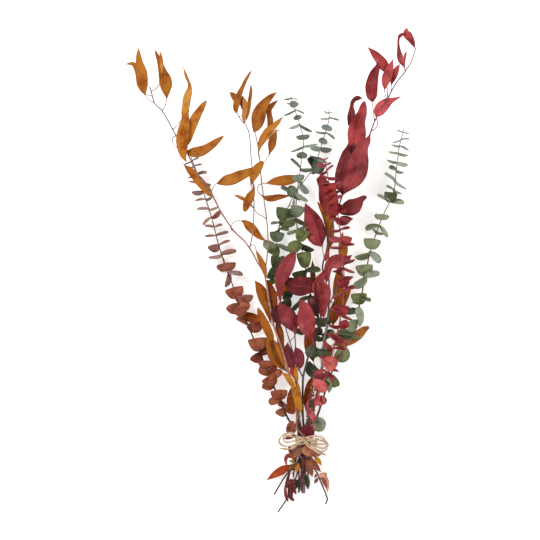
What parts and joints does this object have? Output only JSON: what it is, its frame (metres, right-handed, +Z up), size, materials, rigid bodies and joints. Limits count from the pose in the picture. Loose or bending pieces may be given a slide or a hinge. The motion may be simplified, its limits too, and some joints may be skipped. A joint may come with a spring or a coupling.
{
  "type": "bunch of dried eucalyptus",
  "caption": "Bunch of dried and dyed eucalyptus sprays in orange, rust, green and red, tied near the cut stems with a raffia bow, lying flat.",
  "frame": {"origin": "on the surface that the bunch lies on, under the middle of the raffia tie", "axes": "+Y along the stems towards the leaf tips, +Z up from the surface, +X to the right with the leaf tips pointing away"},
  "size_m": [0.4356, 0.7282, 0.0801],
  "materials": {
    "orange_leaf": "dried orange-dyed leaf",
    "rust_leaf": "dried rust-dyed leaf, matt",
    "green_leaf": "preserved green leaf, matt",
    "red_leaf": "dried red-dyed leaf",
    "seed_brown": "dry woody capsules",
    "raffia": "natural raffia strand"
  },
  "bodies": {
    "root": {"willow_spray_left": "orange_leaf", "willow_spray_low": "orange_leaf", "willow_spray_back": "orange_leaf", "spiral_spray_brown": "rust_leaf", "spiral_spray_green_centre": "green_leaf", "spiral_spray_green_back": "green_leaf", "spiral_spray_green_right": "green_leaf", "spiral_spray_red": "red_leaf", "broadleaf_branch_red": "red_leaf", "seed_twig": "seed_brown", "raffia_wrap": "raffia", "raffia_knot": "raffia", "raffia_loop_left": "raffia", "raffia_loop_left_inner": "raffia", "raffia_loop_right": "raffia", "raffia_loop_right_inner": "raffia", "raffia_tail_left": "raffia", "raffia_tail_right": "raffia", "raffia_tail_right_short": "raffia"}
  },
  "joints": []
}
